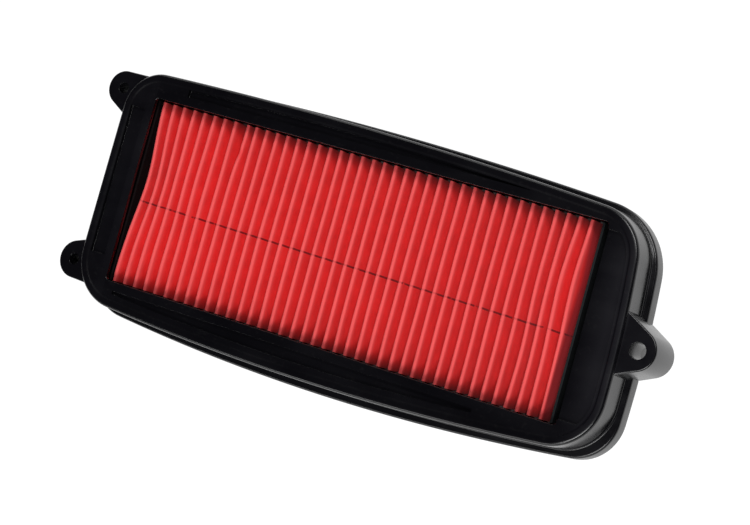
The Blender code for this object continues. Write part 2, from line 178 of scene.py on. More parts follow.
# Pockets in the face
POCKET_BAND = 0.0036
LIP_TO_POCKET = 0.0040
LIP_TO_LOWER_POCKET = 0.0058
LIP_TO_END_POCKET = 0.0048
UPPER_POCKET_X = (-0.088, 0.068)
LOWER_POCKET_X = (-0.094, 0.072)
LEFT_POCKET_Y = (-0.029, 0.033)
RIGHT_POCKET_Y = (-0.036, 0.036)
POCKET_SEGMENTS = 40
POCKET_ROUND = 0.00015
POCKET_STEPS = 3

# Seal
SEAL_WIDTH = 0.0030
SEAL_EDGE = 0.0006
SEAL_STEPS = 4

# Paper pack
PLEATS = 40
PLEAT_PITCH = 0.00497
FIRST_CREST_X = -0.0984
LAST_FLANK_RUN = 0.0036
PACK_HALF_WIDTH = 0.0380
PAPER = 0.0005
OUTER_FOLD = 0.00080
INNER_FOLD = 0.00030
FOLD_TURN = math.radians(78)
FOLD_STEPS = 5
FLANK_STEPS = 4
PAPER_ROWS = 72

# How the crests stray from straight lines: (pleat, across, shift, pleats it spreads over,
# spread). Then their finer waves, and how firmly the glued ends hold crests and flanks
Stray = namedtuple("Stray", "pleat across shift pleats spread")
STRAYS = (
    Stray(0.0, 0.15, 0.0018, 1.6, 0.50),
    Stray(1.5, -0.80, -0.0013, 6.0, 0.55),
    Stray(5.0, 0.25, -0.0010, 2.2, 0.55),
    Stray(11.0, -0.20, -0.0005, 4.0, 0.70),
    Stray(3.0, 0.95, -0.0004, 4.0, 0.30),
    Stray(8.0, 0.90, 0.0011, 0.5, 0.30),
    Stray(20.0, 0.00, -0.0002, 8.0, 0.90),
    Stray(36.0, -0.40, 0.0009, 1.1, 0.50),
    Stray(34.0, -0.60, 0.0003, 3.0, 0.40),
    Stray(38.6, 0.38, -0.0014, 1.5, 0.45),
    Stray(37.0, 0.00, -0.0005, 2.5, 0.80),
    Stray(1.0, 0.80, -0.0004, 2.0, 0.40),
)
DENT = Stray(8.0, 0.69, 0.0007, 0.5, 0.06)
WANDER = 0.00014
WANDER_SEED = 7
LOCAL_SWAY = 0.00021
SWAY_WAVES = (1.7, 1.6, 4.0)
SWAY_POWER = 1.3
CREST_HOLD = 4
CREST_RIPPLE = 0.00018
RIPPLE_WAVES = (0.61, 2.3, 9.0)
SAG_POWER = 3
FLANK_BILLOW = 0.00022
BILLOWS = 130
BILLOWS_UP = 60
FLANK_HOLD = 8
PAPER_SHARP_ANGLE = math.radians(60)

# Adhesive at the ends of the folds
BEAD_TOP = 0.0142
BEAD_REACH = 0.0024
BEAD_STEPS = 8
BEAD_FALL = 1.8
BEAD_DIP = 0.4
BEAD_RAIL = (0.0379, 0.0389)
RAIL_WAVE = 0.0004
RAIL_WAVES = 300

# Paper: dye and fibres, a painted highlight on the crests, painted shade towards the glued sides
# and on the last flank, and an ink rule
DYE_TONES = ((0.76, 0.011, 0.012), (0.88, 0.018, 0.018))
FIBRE_TONE = (0.84, 0.040, 0.040)
FIBRE_SHARE = 0.35
# Painted highlight: a paler pink along the crests stands in for light on the folds
CREST_HIGHLIGHT_TONE = (0.88, 0.125, 0.125)
CREST_HIGHLIGHT_SHARE = 0.75
CREST_HIGHLIGHT_POWER = 2.4
CREST_HIGHLIGHT_DEPTHS = (0.0032, 0.0002)
# Painted shade: the paper darkens towards the glued sides, where the frame's edge shades the folds
END_SHADE_START = 0.0320
END_SHADE_TONE = (0.10, 0.002, 0.003)
END_SHADE_SHARES = (0.9, 0.25)
LAST_CREST_X = FIRST_CREST_X + (PLEATS - 1) * PLEAT_PITCH
# Painted shade: the last flank, past the last crest, is darker
LAST_FLANK_SHADE_TONE = (0.30, 0.007, 0.012)
LAST_FLANK_SHADE_SHARE = 0.9
LAST_FLANK_SHADE_BLUR = 0.0008
INK_Y = -0.0045
INK_SLOPE = 0.010
INK_HALF_WIDTH = 0.00028
INK_BLUR = 0.00015
INK_DEPTHS = (0.0009, 0.0003)
INK_ON_CRESTS = 0.3
INK_SHARE = 0.9
INK_TONE = (0.14, 0.003, 0.006)

# Plastic: two blacks, flow marks, dust, and how matt the top faces are at the left pocket,
# left bar and right end, where a lighter tone is also painted in as reflection
FRONT_BLACK = (0.0016, 0.0015, 0.0021)
REAR_BLACK = (0.0022, 0.0021, 0.0028)
FLOW_CONTRAST = 1.6
DUST_TONE = (0.20, 0.19, 0.18)
DUST_SHARE = 0.02
# This tone is lighter than the black: a painted reflection on the matt top faces
MATT_AND_REFLECTION_TONE = (0.0062, 0.0057, 0.0080)
MATT_ROUGHNESS = 0.2
LEFT_BAR_X = (-0.1060, -0.1030)
LEFT_MATT_AND_REFLECTION = (0.15, 0.40)
RIGHT_END_X = (0.1035, 0.1120)
RIGHT_MATT_AND_REFLECTION = 0.85
EAR_MATT_AND_REFLECTION = 0.35
MATT_AND_REFLECTION_FADE_Y = (0.024, 0.042)
MATT_AND_REFLECTION_AT_SIDES = 0.3

# The part of a noise's values that roughness follows
NOISE_RANGE = (0.3, 0.8)

# Rubber, steel and adhesive, each as two tones
RUBBER_TONES = ((0.014, 0.014, 0.015), (0.045, 0.044, 0.043))
STEEL_TONES = ((0.62, 0.63, 0.64), (0.40, 0.41, 0.43))
ADHESIVE_TONES = ((0.004, 0.003, 0.003), (0.010, 0.005, 0.005))

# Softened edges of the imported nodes
SOFT_SEGMENTS = 2
SOFT_ANGLE = math.radians(40)
SCREEN_EDGE = 0.00012
CARD_EDGE = 0.0002
END_BEAD_EDGE = 0.00015

# End cards: the left one is tinted dark red, a painted reflection of the red paper beside it
END_CARDS = (
    ("end_band_left", (0.0034, 0.0006, 0.0010), (0.0060, 0.0012, 0.0018)),
    ("end_band_right", (0.0034, 0.0048, 0.0056), (0.0068, 0.0085, 0.0095)),
)

# Studio: lamps as (name, place, size, watts), all aimed at the origin
LAMPS = (
    ("key_upper", (0.50, 1.00, 1.35), (0.9, 0.5), 15.5),
    ("key_lower", (0.50, -1.00, 1.35), (0.9, 0.5), 18.5),
    ("low_fill", (-0.20, -1.30, 0.55), (1.4, 0.3), 7.0),
    ("far_fill", (-0.30, 1.30, 0.45), (1.4, 0.4), 4.0),
)
WORLD_TINT = (0.92, 0.88, 1.2)
WORLD_GLOW = 0.035
FLOOR_GLOW = 0.95
FLOOR_TONE = (0.14, 0.14, 0.14)
FLOOR_HALF_WIDTH = 3.0
FLOOR_CELLS = 8
FLOOR_DROP = 0.00005

# Camera, at the viewing angle of the picture
CAMERA_TARGET = Vector((0.0069, 0.0022, 0.0120))
CAMERA_BEARING = math.radians(86.2)
CAMERA_ELEVATION = math.radians(63.52)
CAMERA_ROLL = math.radians(-69.06)
CAMERA_DISTANCE = 0.8196
CAMERA_LENS = 101.16
CAMERA_SENSOR = 36.0


# --- shapes ---------------------------------------------------------------------------------


def heading(degrees):
    angle = math.radians(degrees)
    return Vector((math.cos(angle), math.sin(angle)))


def bow_centre(side):
    return side.middle - heading(side.facing) * side.bow


def circles_meet(first, first_radius, second, second_radius, near):
    """The crossing of two circles that lies nearer to a given point."""
    between = second - first
    distance = between.length
    along = (first_radius**2 - second_radius**2 + distance**2) / (2 * distance)
    across = math.sqrt(first_radius**2 - along**2)
    foot = first + between * (along / distance)
    normal = Vector((-between.y, between.x)) / distance
    return min((foot + normal * across, foot - normal * across), key=lambda p: (p - near).length)


def arc(centre, start, end, radius, segments):
    """Points on an arc from the direction start to the direction end, the short way round."""
    first = math.atan2(start.y, start.x)
    sweep = math.atan2(start.cross(end), start.dot(end))
    turns = [first + sweep * step / segments for step in range(segments + 1)]
    return [centre + Vector((math.cos(turn), math.sin(turn))) * radius for turn in turns]


def circle(centre, radius):
    turns = [math.tau * step / HOLE_SEGMENTS for step in range(HOLE_SEGMENTS)]
    return [centre + Vector((math.cos(turn), math.sin(turn))) * radius for turn in turns]


def outline(shape, offset=0.0):
    """The points of an outline, moved outwards by offset."""
    sides = shape[:4]
    centres = [bow_centre(side) for side in sides]
    corners = []
    for index, corner_radius in enumerate(shape.corner_radii):
        after = (index + 1) % 4
        near = sides[index].middle + sides[after].middle
        reach = sides[index].bow - corner_radius
        next_reach = sides[after].bow - corner_radius
        corners.append(circles_meet(centres[index], reach, centres[after], next_reach, near))
    points = []
    for index, segments in enumerate(SIDE_SEGMENTS):
        centre = centres[index]
        before, after = corners[index - 1], corners[index]
        points += arc(centre, before - centre, after - centre, sides[index].bow + offset, segments)
        next_centre = centres[(index + 1) % 4]
        radius = shape.corner_radii[index] + offset
        points += arc(after, after - centre, after - next_centre, radius, CORNER_SEGMENTS)[1:-1]
    return points


def lean(point):
    """A plan point of the straight pack, moved to where the leaning pack has it."""
    return Vector((point.x - point.y * math.tan(PACK_LEAN), point.y))


def rectangle(box, grow=0.0):
    """A leaning rectangle with as many points as outline() has, in the same order."""
    left, right, half, radius = box
    left, right, half = left - grow, right + grow, half + grow
    radius = max(radius + grow, SMALLEST_CORNER)
    corners = (
        (Vector((right - radius, half - radius)), 0),
        (Vector((left + radius, half - radius)), 90),
        (Vector((left + radius, radius - half)), 180),
        (Vector((right - radius, radius - half)), 270),
    )
    points = []
    for index, segments in enumerate(SIDE_SEGMENTS):
        side_heading = heading(corners[index][1]) * radius
        start = corners[index - 1][0] + side_heading
        end = corners[index][0] + side_heading
        points += [start.lerp(end, step / segments) for step in range(segments + 1)]
        centre, degrees = corners[index]
        turn = arc(centre, heading(degrees), heading(degrees + 90), radius, CORNER_SEGMENTS)
        points += turn[1:-1]
    return [lean(point) for point in points]


def grown(points, distance):
    """A closed outline moved outwards, each corner along its mitre."""
    moved = []
    for index, point in enumerate(points):
        before = (point - points[index - 1]).normalized()
        after = (points[(index + 1) % len(points)] - point).normalized()
        first = Vector((before.y, -before.x))
        second = Vector((after.y, -after.x))
        moved.append(point + (first + second) * (distance / (1 + first.dot(second))))
    return moved


def anticlockwise(points):
    area = sum(points[index - 1].cross(point) for index, point in enumerate(points))
    return points if area > 0 else points[::-1]


def quarter(steps):
    """(run, rise) of a quarter round from a wall's top to a flat, both from 0 to 1."""
    turns = [math.pi / 2 * step / steps for step in range(steps + 1)]
    return [(1 - math.cos(turn), math.sin(turn)) for turn in turns]


def nearest(points, target):
    """The point of a closed outline that lies nearest to a target point."""
    found = []
    for index, end in enumerate(points):
        along = end - points[index - 1]
        part = (target - points[index - 1]).dot(along) / along.length_squared
        found.append(points[index - 1] + along * min(max(part, 0.0), 1.0))
    return min(found, key=lambda point: (point - target).length)


# --- meshes ---------------------------------------------------------------------------------


def add_mesh(name, mesh_data, sharp=SHARP_ANGLE):
    bmesh.ops.recalc_face_normals(mesh_data, faces=mesh_data.faces)
    mesh = bpy.data.meshes.new(name)
    mesh_data.to_mesh(mesh)
    mesh_data.free()
    mesh.shade_smooth()
    mesh.set_sharp_from_angle(angle=sharp)
    obj = bpy.data.objects.new(name, mesh)
    bpy.context.scene.collection.objects.link(obj)
    obj.location = ORIGIN
    return obj


def ring_of(mesh, points, height):
    """New vertices for plan points at one height."""
    return [mesh.verts.new((*point, height)) for point in points]


def bridge(mesh, row, after):
    """Faces between two closed rows of matching vertices."""
    for step in range(len(row)):
        onward = (step + 1) % len(row)
        mesh.faces.new((row[step], row[onward], after[onward], after[step]))


def loft(name, loops):
    """A closed ring through loops of matching points, each given as (points, height)."""
    mesh = bmesh.new()
    rows = [ring_of(mesh, points, height) for points, height in loops]
    for index, row in enumerate(rows):
        bridge(mesh, row, rows[(index + 1) % len(rows)])
    return add_mesh(name, mesh)


def stack(name, loops):
    """A solid through stacked loops, with a flat face at each end."""
    mesh = bmesh.new()
    rows = [ring_of(mesh, points, height) for points, height in loops]
    for row, after in zip(rows, rows[1:]):
        bridge(mesh, row, after)
    mesh.faces.new(rows[0])
    mesh.faces.new(rows[-1])
    return add_mesh(name, mesh)


def apply_boolean(obj, tools, operation):
    """Bakes Booleans with the tools into the object, and removes the tools."""
    for tool in tools:
        cut = obj.modifiers.new(tool.name, "BOOLEAN")
        cut.operation = operation
        cut.object = tool
    graph = bpy.context.evaluated_depsgraph_get()
    mesh = bpy.data.meshes.new_from_object(obj.evaluated_get(graph))
    obj.modifiers.clear()
    obj.data = mesh
    mesh.set_sharp_from_angle(angle=SHARP_ANGLE)
    for tool in tools:
        bpy.data.objects.remove(tool, do_unlink=True)


def show(obj, slot, material, *nodes):
    """Rides a finished piece on the frame with its material, in place of its CAD nodes."""
    obj.data.materials.clear()
    obj.data.materials.append(material)
    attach(obj, "root")
    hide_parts(*nodes)
    return obj


# --- front frame ----------------------------------------------------------------------------


def tangent_point(centre, radius, outside, side):
    """Where a line from an outside point touches a circle, on its left (1) or right (-1)."""
    reach = centre - outside
    turn = math.asin(radius / reach.length) * side
    length = math.sqrt(reach.length**2 - radius**2)
    return outside + Matrix.Rotation(turn, 2) @ reach.normalized() * length


def teardrop(tab, inset=0.0):
    """A tab's outline: a round nose whose flanks run back into the frame."""
    first, second = tab.flanks
    inward = (second - first).normalized() * inset * FLANK_SLANT
    first, second = first + inward, second - inward
    centre, radius = tab.nose, tab.radius - inset
    side = 1 if (centre - first).cross(second - first) < 0 else -1
    touch = tangent_point(centre, radius, first, side) - centre
    leave = tangent_point(centre, radius, second, -side) - centre
    middle = (centre - (first + second) / 2).normalized()
    half = NOSE_SEGMENTS // 2
    nose = arc(centre, touch, middle, radius, half) + arc(centre, middle, leave, radius, half)[1:]
    return [first, *nose, second]


def tab_body(name, tab):
    """A rounded tab plate with a boss, on a skirt that is open below."""
    below = FLANGE_BOTTOM - PLATE
    above = LIP_TOP + PLATE
    loops = [(teardrop(tab, EDGE), FLANGE_BOTTOM), (teardrop(tab), FLANGE_BOTTOM + EDGE)]
    for run, rise in quarter(TAB_ROUND_STEPS):
        loops.append((teardrop(tab, TAB_ROUND * run), tab.top - TAB_ROUND * (1 - rise)))
    body = stack(name, loops)
    inside = teardrop(tab, TAB_WALL)
    hollow = stack(f"{name}_hollow", [(inside, below), (inside, tab.top - TAB_PLATE)])
    boss_edge = circle(tab.hole, tab.hole_radius + BOSS_WALL)
    boss = stack(f"{name}_boss", [(boss_edge, tab.boss_bottom), (boss_edge, above)])
    apply_boolean(hollow, [boss], "DIFFERENCE")
    loops = [(circle(tab.hole, tab.hole_radius), below)]
    for run, rise in quarter(FLARE_STEPS):
        radius = tab.hole_radius + HOLE_FLARE * run
        loops.append((circle(tab.hole, radius), tab.top - HOLE_FLARE * (1 - rise)))
    loops.append((circle(tab.hole, tab.hole_radius + HOLE_FLARE), above))
    hole = stack(f"{name}_hole", loops)
    root = outline(RIM, -TAB_ROOT)
    core = stack(f"{name}_core", [(root, below), (root, above)])
    passing = outline(FLANGE, GAP)
    clearance = stack(f"{name}_clearance", [(passing, below), (passing, LEDGE_TOP + GAP)])
    apply_boolean(body, [hollow, hole, core, clearance], "DIFFERENCE")
    return body


def bowed_edge(side, offset, low_x, high_x):
    """Points along a long side of the rim, moved by offset, from low_x to high_x."""
    centre = bow_centre(side)
    up = 1 if side.middle.y > 0 else -1
    points = []
    for step in range(POCKET_SEGMENTS + 1):
        x = low_x + (high_x - low_x) * step / POCKET_SEGMENTS
        drop = math.sqrt((side.bow + offset) ** 2 - (x - centre.x) ** 2)
        points.append(Vector((x, centre.y + up * drop)))
    return points


def pocket_outlines():
    """The shallow pockets between the lip and the band round the opening."""
    band_y = OPENING[2] + POCKET_BAND
    upper = bowed_edge(RIM.top, -LIP_TO_POCKET, *UPPER_POCKET_X)
    upper += [Vector((UPPER_POCKET_X[1], band_y)), Vector((UPPER_POCKET_X[0], band_y))]
    lower = bowed_edge(RIM.bottom, -LIP_TO_LOWER_POCKET, *LOWER_POCKET_X)
    lower += [Vector((LOWER_POCKET_X[1], -band_y)), Vector((LOWER_POCKET_X[0], -band_y))]
    left_low, left_high = LEFT_POCKET_Y
    band_x = OPENING[0] - POCKET_BAND
    lip_x = RIM.left.middle.x + LIP_TO_POCKET
    left = [(lip_x, left_low), (band_x, left_low), (band_x, left_high), (lip_x, left_high)]
    right_low, right_high = RIGHT_POCKET_Y
    inner = outline(RIM, -LIP_TO_END_POCKET)
    bowed = [point for point in inner if point.x > OPENING[1] and right_low < point.y < right_high]
    bowed.sort(key=lambda point: point.y)
    well_x = OPENING[1] - PLATE
    right = [Vector((well_x, right_low)), *bowed, Vector((well_x, right_high))]
    shapes = {
        "upper_pocket": upper,
        "lower_pocket": lower,
        "left_pocket": [lean(Vector(point)) for point in left],
        "right_pocket": right,
    }
    return {name: anticlockwise(points) for name, points in shapes.items()}


def pocket_cutter(name, points):
    """A pocket's cutter, rounded at the floor."""
    loops = []
    for run, rise in quarter(POCKET_STEPS)[::-1]:
        height = POCKET_FLOOR + POCKET_ROUND * (1 - rise)
        loops.append((grown(points, -POCKET_ROUND * run), height))
    loops.append((points, LIP_TOP + PLATE))
    return stack(name, loops)


def front_frame(material):
    foot = LEDGE_TOP + GAP
    loops = [
        (outline(RIM, FOOT_FILLET * (1 - rise)), foot + FOOT_FILLET * run)
        for run, rise in quarter(FOOT_STEPS)
    ]
    for run, rise in quarter(LIP_STEPS):
        loops.append((outline(RIM, -LIP_RADIUS * run), LIP_TOP - LIP_RADIUS * (1 - rise)))
    step_start = -LIP_WIDTH + (LIP_TOP - FACE_TOP)
    loops += [
        (outline(RIM, step_start + LIP_STEP_ROUND), LIP_TOP),
        (outline(RIM, step_start), LIP_TOP - LIP_STEP_ROUND / 3),
        (outline(RIM, -LIP_WIDTH), FACE_TOP + LIP_STEP_ROUND / 3),
        (outline(RIM, -LIP_WIDTH - LIP_STEP_ROUND), FACE_TOP),
    ]
    for run, rise in quarter(OPENING_STEPS)[::-1]:
        height = FACE_TOP - OPENING_ROUND * (1 - rise)
        loops.append((rectangle(OPENING, OPENING_ROUND * run), height))
    overhang_low = FACE_TOP - OVERHANG
    loops += [
        (rectangle(OPENING), overhang_low + EDGE),
        (rectangle(OPENING, EDGE), overhang_low),
        (rectangle(WELL), overhang_low),
        (rectangle(WELL), foot),
        (rectangle(WELL, PACK_WALL), foot),
        (rectangle(WELL, PACK_WALL), FACE_UNDERSIDE),
        (outline(RIM, -FRAME_WALL), FACE_UNDERSIDE),
        (outline(RIM, -FRAME_WALL), foot),
    ]
    obj = loft("moulded_front_frame", loops)
    tabs = {"ear": EAR, "upper_lug": UPPER_LUG, "lower_lug": LOWER_LUG}
    apply_boolean(obj, [tab_body(name, tab) for name, tab in tabs.items()], "UNION")
    cutters = [pocket_cutter(name, points) for name, points in pocket_outlines().items()]
    apply_boolean(obj, cutters, "DIFFERENCE")
    return show(obj, "front_plastic", material, "front_frame")


# --- rear frame and seal --------------------------------------------------------------------


def rear_frame(material):
    sill_underside = SILL_TOP - PLATE
    ledge_underside = LEDGE_TOP - PLATE
    loops = [(outline(FLANGE, -EDGE), FLANGE_BOTTOM), (outline(FLANGE), FLANGE_BOTTOM + EDGE)]
    edge_top = LEDGE_TOP - LEDGE_FALL
    for run, rise in quarter(LEDGE_ROUND_STEPS):
        height = edge_top - LEDGE_RADIUS * (1 - rise)
        loops.append((outline(FLANGE, -LEDGE_RADIUS * run), height))
    edge, rim = outline(FLANGE, -LEDGE_RADIUS), outline(RIM, GAP)
    foot = [nearest(rim, point) for point in edge]
    for step in range(1, LEDGE_STEPS + 1):
        part = step / LEDGE_STEPS
        between = [start.lerp(end, part) for start, end in zip(edge, foot)]
        loops.append((between, edge_top + LEDGE_FALL * part))
    loops += [
        (rectangle(WELL), LEDGE_TOP),
        (rectangle(WELL), SILL_TOP),
        (rectangle(VENT, EDGE), SILL_TOP),
        (rectangle(VENT), SILL_TOP - EDGE),
        (rectangle(VENT), sill_underside + 2 * EDGE),
        (rectangle(VENT, 2 * EDGE), sill_underside),
        (rectangle(WELL, PACK_WALL - EDGE), sill_underside),
        (rectangle(WELL, PACK_WALL), sill_underside + EDGE),
        (rectangle(WELL, PACK_WALL), ledge_underside),
        (outline(FLANGE, -FLANGE_SKIRT), ledge_underside),
        (outline(FLANGE, -FLANGE_SKIRT), FLANGE_BOTTOM + EDGE),
        (outline(FLANGE, -FLANGE_SKIRT + EDGE), FLANGE_BOTTOM),
    ]
    return show(loft("moulded_rear_frame", loops), "rear_plastic", material, "rear_frame")


def seal(material):
    """The sealing strip: a rounded foot with a shallow groove along its middle."""
    outer = -FLANGE_SKIRT - GAP
    inner = outer - SEAL_WIDTH
    middle = (outer + inner) / 2
    rounded = [(SEAL_EDGE * run, SEAL_EDGE * (1 - rise)) for run, rise in quarter(SEAL_STEPS)]
    loops = [(outline(FLANGE, outer), SEAL_TOP)]
    loops += [(outline(FLANGE, outer - inset), height) for inset, height in rounded]
    loops += [
        (outline(FLANGE, middle + 2 * EDGE), 0.0),
        (outline(FLANGE, middle), EDGE),
        (outline(FLANGE, middle - 2 * EDGE), 0.0),
    ]
    loops += [(outline(FLANGE, inner + inset), height) for inset, height in rounded[::-1]]
    loops.append((outline(FLANGE, inner), SEAL_TOP))
    return show(loft("sealing_strip", loops), "seal_rubber", material, "rim_seal")


# --- paper pack -----------------------------------------------------------------------------


def half_pleat(run):
    """Front and back of the paper from a crest to the fold beside it, as (distance, height)."""
    front, back = [], []
    turns = [FOLD_TURN * step / FOLD_STEPS for step in range(FOLD_STEPS + 1)]
    for turn in turns:
        out, drop = math.sin(turn), 1 - math.cos(turn)
        front.append((OUTER_FOLD * out, PACK_TOP - OUTER_FOLD * drop))
        back.append((INNER_FOLD * out, PACK_TOP - PAPER - INNER_FOLD * drop))
    foot_front, foot_back = [], []
    for turn in turns[::-1]:
        out, drop = math.sin(turn), 1 - math.cos(turn)
        foot_front.append((run - INNER_FOLD * out, PACK_BOTTOM + PAPER + INNER_FOLD * drop))
        foot_back.append((run - OUTER_FOLD * out, PACK_BOTTOM + OUTER_FOLD * drop))
    shares = [step / (FLANK_STEPS + 1) for step in range(1, FLANK_STEPS + 1)]
    for side, foot in ((front, foot_front), (back, foot_back)):
        start, end = Vector(side[-1]), Vector(foot[0])
        side += [tuple(start.lerp(end, share)) for share in shares]
        side += foot
    return front, back


def pleat_profile():
    """The folded sheet's front and back, as (pleat, x, height) triples that match one to one."""
    front, back = [], []
    for pleat in range(PLEATS):
        crest = FIRST_CREST_X + pleat * PLEAT_PITCH
        last = pleat == PLEATS - 1
        near = half_pleat(PLEAT_PITCH / 2)
        far = half_pleat(LAST_FLANK_RUN if last else PLEAT_PITCH / 2)
        for sheet, rising, falling in ((front, near[0], far[0]), (back, near[1], far[1])):
            first = 0 if pleat == 0 else 1
            rising = rising[::-1][first:]
            sheet += [(pleat, crest - distance, height) for distance, height in rising]
            sheet += [(pleat, crest + distance, height) for distance, height in falling[1:]]
    return front, back


def nearness(stray, pleat, across):
    """1 at the middle of a stray, falling to 0 away from it."""
    along = (pleat - stray.pleat) / stray.pleats
    return math.exp(-(along**2) - ((across - stray.across) / stray.spread) ** 2)


def crest_noise(pleat, across, per_pleat, sideways, layer):
    """Smooth noise over the crests, with the pace at which it changes each way."""
    return noise.noise(Vector((pleat * per_pleat, across * sideways, layer)))


def crest_sway(pleat, across, wander):
    """How far a crest stands off its line; across runs from -1 at the lower edge to 1."""
    sway = sum(stray.shift * nearness(stray, pleat, across) for stray in STRAYS)
    sway += LOCAL_SWAY * crest_noise(pleat, across, *SWAY_WAVES)
    return sway + wander[pleat] * (1 - across**CREST_HOLD)


def crest_sag(pleat, across):
    """How far a crest lies from its full height: never above it, and lowest in the dent."""
    ripple = CREST_RIPPLE * crest_noise(pleat, across, *RIPPLE_WAVES)
    return min(ripple - DENT.shift * nearness(DENT, pleat, across), 0.0)


def settled(pleat, x, y, height, wander):
    """Where a point of the straight-folded sheet comes to lie once the folds have strayed."""
    across = y / PACK_HALF_WIDTH
    rise = min(max((height - PACK_BOTTOM) / (PACK_TOP - PACK_BOTTOM), 0.0), 1.0)
    shift = crest_sway(pleat, across, wander) * rise**SWAY_POWER
    ripples = Vector((x * BILLOWS, y * BILLOWS, height * BILLOWS_UP))
    billow = FLANK_BILLOW * noise.noise(ripples)
    billow *= math.sin(math.pi * rise) * (1 - across**FLANK_HOLD)
    point = lean(Vector((x + shift + billow, y)))
    return (*point, height + crest_sag(pleat, across) * rise**SAG_POWER)


def pleated_paper(material, wander):
    """One sheet folded into pleats, whose crests wander a little between their glued ends."""
    front, back = pleat_profile()
    mesh = bmesh.new()
    sheets = []
    for profile in (front, back):
        rows = []
        for row in range(PAPER_ROWS + 1):
            across = math.sin(math.pi * (row / PAPER_ROWS - 0.5))
            y = across * PACK_HALF_WIDTH
            verts = []
            for pleat, x, height in profile:
                verts.append(mesh.verts.new(settled(pleat, x, y, height, wander)))
            rows.append(verts)
        sheets.append(rows)
    for rows in sheets:
        for low, high in zip(rows, rows[1:]):
            for step in range(len(low) - 1):
                mesh.faces.new((low[step], low[step + 1], high[step + 1], high[step]))
    top_sheet, under_sheet = sheets
    for row in (0, -1):
        edge, under = top_sheet[row], under_sheet[row]
        for step in range(len(edge) - 1):
            mesh.faces.new((edge[step], edge[step + 1], under[step + 1], under[step]))
    for end in (0, -1):
        edge, under = [row[end] for row in top_sheet], [row[end] for row in under_sheet]
        for step in range(len(edge) - 1):
            mesh.faces.new((edge[step], edge[step + 1], under[step + 1], under[step]))
    paper = add_mesh("pleated_paper", mesh, PAPER_SHARP_ANGLE)
    return show(paper, "filter_paper", material, "pleated_media")


def groove_half_width(height):
    """Half the width of the groove between two pleats, a little into the paper."""
    return PLEAT_PITCH / 2 * (height - PACK_BOTTOM) / (PACK_TOP - PACK_BOTTOM) + PAPER / 4


def adhesive_side(name, side, node, material, wander):
    """Adhesive along one side: a rail outside the folds, and a fillet running into each groove."""
    mesh = bmesh.new()
    low = PACK_BOTTOM + PAPER + INNER_FOLD
    lowest_top = low + 2 * EDGE
    foot = groove_half_width(low)
    for groove in range(PLEATS - 1):
        middle = FIRST_CREST_X + (groove + 0.5) * PLEAT_PITCH
        rows = []
        for step in range(BEAD_STEPS + 1):
            inward = 1 - step / BEAD_STEPS
            y = side * (PACK_HALF_WIDTH - BEAD_REACH * (1 - inward))
            top = lowest_top + (BEAD_TOP - lowest_top) * inward**BEAD_FALL
            half = groove_half_width(top)
            dip = BEAD_DIP * half * inward
            corners = (
                (groove, middle - foot, low),
                (groove, middle - half, top),
                (groove, middle, top - dip),
                (groove + 1, middle + half, top),
                (groove + 1, middle + foot, low),
            )
            places = [settled(pleat, x, y, height, wander) for pleat, x, height in corners]
            rows.append([mesh.verts.new(place) for place in places])
        for row, after in zip(rows, rows[1:]):
            bridge(mesh, row, after)
        mesh.faces.new(rows[0])
        mesh.faces.new(rows[-1])
    start = FIRST_CREST_X - PLEAT_PITCH / 2
    end = FIRST_CREST_X + (PLEATS - 0.5) * PLEAT_PITCH
    inner, outer = (side * edge for edge in BEAD_RAIL)
    rails = []
    for step in range(PLEATS * 2 + 1):
        x = start + (end - start) * step / (PLEATS * 2)
        top = BEAD_TOP + RAIL_WAVE * noise.noise(Vector((x * RAIL_WAVES, side, 0.0)))
        section = (
            (inner, PACK_BOTTOM),
            (inner, top - EDGE),
            ((inner + outer) / 2, top),
            (outer, top - EDGE),
            (outer, PACK_BOTTOM),
        )
        rails.append([mesh.verts.new((*lean(Vector((x, y))), z)) for y, z in section])
    for row, after in zip(rails, rails[1:]):
        bridge(mesh, row, after)
    mesh.faces.new(rails[0])
    mesh.faces.new(rails[-1])
    return show(add_mesh(name, mesh), "adhesive", material, node)


# --- materials ------------------------------------------------------------------------------


Bump = namedtuple("Bump", "height strength depth")


